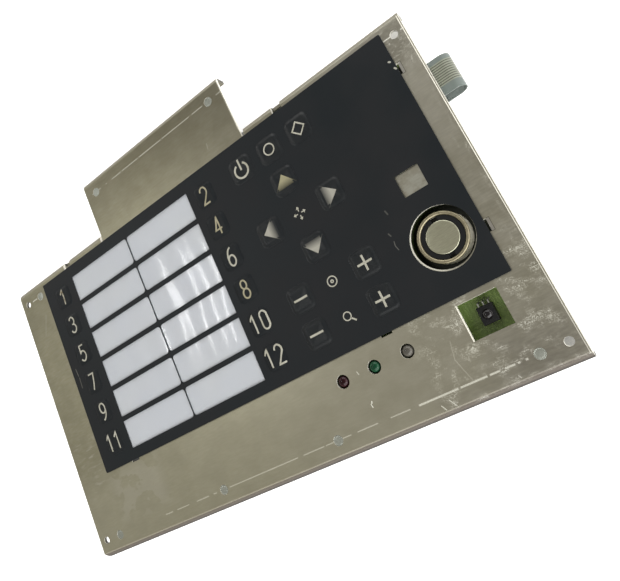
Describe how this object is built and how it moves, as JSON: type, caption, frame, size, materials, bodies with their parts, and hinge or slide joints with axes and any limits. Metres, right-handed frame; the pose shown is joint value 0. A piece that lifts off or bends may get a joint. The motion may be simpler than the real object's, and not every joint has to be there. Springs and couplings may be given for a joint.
{
  "type": "keypad control panel",
  "caption": "Folded metal control panel with a keypad, label windows, a touch reader, an infrared window, lamps and a circuit board behind.",
  "frame": {"origin": "under the middle of the bounding box, at the height of the stud tips that the panel lies on", "axes": "+X to the panel's right, +Y towards its top edge and tab, +Z out of the keypad's face"},
  "size_m": [0.256, 0.1758, 0.0163],
  "materials": {
    "plate": "brushed along its length, satin",
    "stud": "zinc plated",
    "overlay": "fine-textured printed polyester",
    "key": "embossed, satin",
    "window_film": "clear glossy film",
    "label_card": "pale grey card",
    "circuit_film": "translucent polyester with silver print",
    "spacer": "adhesive spacer",
    "board": "green solder mask",
    "hardware": "zinc plated",
    "reader_metal": "polished, warm",
    "contact_metal": "satin nickel",
    "black_plastic": "moulded",
    "socket_plastic": "moulded",
    "lamp_red": "diffused",
    "lamp_green": "diffused",
    "lamp_clear": "water clear"
  },
  "bodies": {
    "panel": {"panel_plate": "plate", "keypad_overlay": "overlay", "label_window_film": "window_film", "label_card_left": "label_card", "label_card_right": "label_card", "circuit_layer": "circuit_film", "spacer_layer": "spacer", "control_board": "board", "controller_chip": "black_plastic", "host_socket": "socket_plastic", "tail_socket": "socket_plastic", "flex_tail": "circuit_film", "reader_shell": "reader_metal", "reader_insulator": "black_plastic", "reader_contact": "contact_metal", "ir_receiver": "black_plastic", "led_red": "lamp_red", "led_green": "lamp_green", "led_clear": "lamp_clear", "stud_top_left": "stud", "stud_bottom_left": "stud", "stud_bottom_mid": "stud", "stud_board_top_left": "stud", "stud_board_top_right": "stud", "stud_board_bottom_left": "stud", "stud_board_bottom_right": "stud", "stud_tab_left": "stud", "stud_tab_right": "stud", "board_standoff_1": "hardware", "board_nut_1": "hardware", "board_standoff_2": "hardware", "board_nut_2": "hardware", "board_standoff_3": "hardware", "board_nut_3": "hardware", "board_standoff_4": "hardware", "board_nut_4": "hardware"},
    "key_1": {"key_1": "key"},
    "key_2": {"key_2": "key"},
    "key_3": {"key_3": "key"},
    "key_4": {"key_4": "key"},
    "key_5": {"key_5": "key"},
    "key_6": {"key_6": "key"},
    "key_7": {"key_7": "key"},
    "key_8": {"key_8": "key"},
    "key_9": {"key_9": "key"},
    "key_10": {"key_10": "key"},
    "key_11": {"key_11": "key"},
    "key_12": {"key_12": "key"},
    "key_power": {"key_power": "key"},
    "key_function_a": {"key_function_a": "key"},
    "key_function_b": {"key_function_b": "key"},
    "key_up": {"key_up": "key"},
    "key_left": {"key_left": "key"},
    "key_right": {"key_right": "key"},
    "key_down": {"key_down": "key"},
    "key_focus_minus": {"key_focus_minus": "key"},
    "key_focus_plus": {"key_focus_plus": "key"},
    "key_zoom_minus": {"key_zoom_minus": "key"},
    "key_zoom_plus": {"key_zoom_plus": "key"}
  },
  "joints": [
    {"name": "key_1_press", "type": "slide", "parent": "panel", "child": "key_1", "axis": [0, 0, -1], "range_m": [0, 0.0004], "stiffness_N_per_m": 5000},
    {"name": "key_2_press", "type": "slide", "parent": "panel", "child": "key_2", "axis": [0, 0, -1], "range_m": [0, 0.0004], "stiffness_N_per_m": 5000},
    {"name": "key_3_press", "type": "slide", "parent": "panel", "child": "key_3", "axis": [0, 0, -1], "range_m": [0, 0.0004], "stiffness_N_per_m": 5000},
    {"name": "key_4_press", "type": "slide", "parent": "panel", "child": "key_4", "axis": [0, 0, -1], "range_m": [0, 0.0004], "stiffness_N_per_m": 5000},
    {"name": "key_5_press", "type": "slide", "parent": "panel", "child": "key_5", "axis": [0, 0, -1], "range_m": [0, 0.0004], "stiffness_N_per_m": 5000},
    {"name": "key_6_press", "type": "slide", "parent": "panel", "child": "key_6", "axis": [0, 0, -1], "range_m": [0, 0.0004], "stiffness_N_per_m": 5000},
    {"name": "key_7_press", "type": "slide", "parent": "panel", "child": "key_7", "axis": [0, 0, -1], "range_m": [0, 0.0004], "stiffness_N_per_m": 5000},
    {"name": "key_8_press", "type": "slide", "parent": "panel", "child": "key_8", "axis": [0, 0, -1], "range_m": [0, 0.0004], "stiffness_N_per_m": 5000},
    {"name": "key_9_press", "type": "slide", "parent": "panel", "child": "key_9", "axis": [0, 0, -1], "range_m": [0, 0.0004], "stiffness_N_per_m": 5000},
    {"name": "key_10_press", "type": "slide", "parent": "panel", "child": "key_10", "axis": [0, 0, -1], "range_m": [0, 0.0004], "stiffness_N_per_m": 5000},
    {"name": "key_11_press", "type": "slide", "parent": "panel", "child": "key_11", "axis": [0, 0, -1], "range_m": [0, 0.0004], "stiffness_N_per_m": 5000},
    {"name": "key_12_press", "type": "slide", "parent": "panel", "child": "key_12", "axis": [0, 0, -1], "range_m": [0, 0.0004], "stiffness_N_per_m": 5000},
    {"name": "key_power_press", "type": "slide", "parent": "panel", "child": "key_power", "axis": [0, 0, -1], "range_m": [0, 0.0004], "stiffness_N_per_m": 5000},
    {"name": "key_function_a_press", "type": "slide", "parent": "panel", "child": "key_function_a", "axis": [0, 0, -1], "range_m": [0, 0.0004], "stiffness_N_per_m": 5000},
    {"name": "key_function_b_press", "type": "slide", "parent": "panel", "child": "key_function_b", "axis": [0, 0, -1], "range_m": [0, 0.0004], "stiffness_N_per_m": 5000},
    {"name": "key_up_press", "type": "slide", "parent": "panel", "child": "key_up", "axis": [0, 0, -1], "range_m": [0, 0.0004], "stiffness_N_per_m": 5000},
    {"name": "key_left_press", "type": "slide", "parent": "panel", "child": "key_left", "axis": [0, 0, -1], "range_m": [0, 0.0004], "stiffness_N_per_m": 5000},
    {"name": "key_right_press", "type": "slide", "parent": "panel", "child": "key_right", "axis": [0, 0, -1], "range_m": [0, 0.0004], "stiffness_N_per_m": 5000},
    {"name": "key_down_press", "type": "slide", "parent": "panel", "child": "key_down", "axis": [0, 0, -1], "range_m": [0, 0.0004], "stiffness_N_per_m": 5000},
    {"name": "key_focus_minus_press", "type": "slide", "parent": "panel", "child": "key_focus_minus", "axis": [0, 0, -1], "range_m": [0, 0.0004], "stiffness_N_per_m": 5000},
    {"name": "key_focus_plus_press", "type": "slide", "parent": "panel", "child": "key_focus_plus", "axis": [0, 0, -1], "range_m": [0, 0.0004], "stiffness_N_per_m": 5000},
    {"name": "key_zoom_minus_press", "type": "slide", "parent": "panel", "child": "key_zoom_minus", "axis": [0, 0, -1], "range_m": [0, 0.0004], "stiffness_N_per_m": 5000},
    {"name": "key_zoom_plus_press", "type": "slide", "parent": "panel", "child": "key_zoom_plus", "axis": [0, 0, -1], "range_m": [0, 0.0004], "stiffness_N_per_m": 5000}
  ]
}
